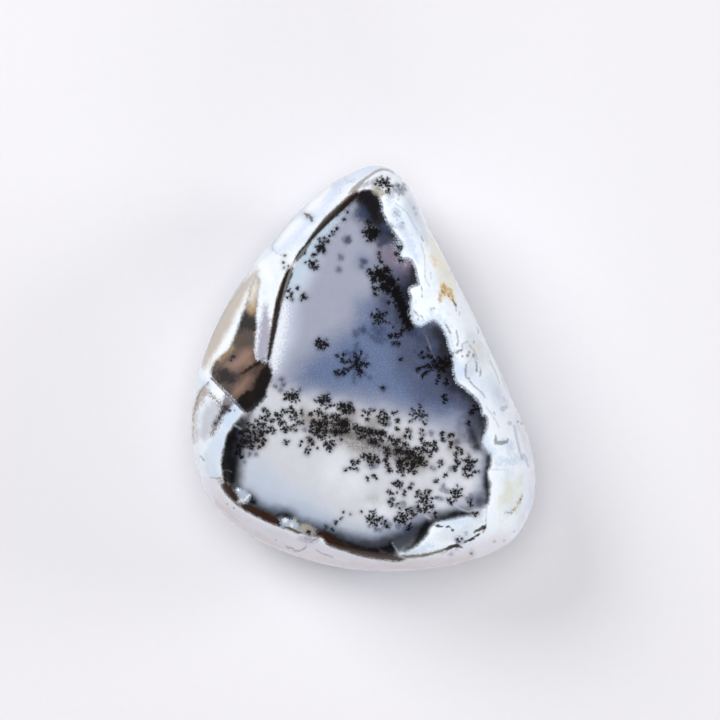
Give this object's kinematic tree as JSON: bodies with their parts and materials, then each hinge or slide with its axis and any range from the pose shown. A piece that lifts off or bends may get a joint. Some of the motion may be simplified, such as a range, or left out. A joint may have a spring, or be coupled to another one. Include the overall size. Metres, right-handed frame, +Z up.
{
  "type": "dendritic opal",
  "caption": "Polished freeform of dendritic opal: a domed drop-shaped face with moss-like dark dendrites, rolled edges and a domed back.",
  "frame": {"origin": "on the surface the stone rests on, under the middle of its bounding box", "axes": "+Y along the stone's length towards its tip, +Z up out of the polished face, +X to the right seen from above"},
  "size_m": [0.0452, 0.053, 0.0221],
  "materials": {
    "opal": "polished"
  },
  "bodies": {
    "root": {"dendritic_opal": "opal"}
  },
  "joints": []
}
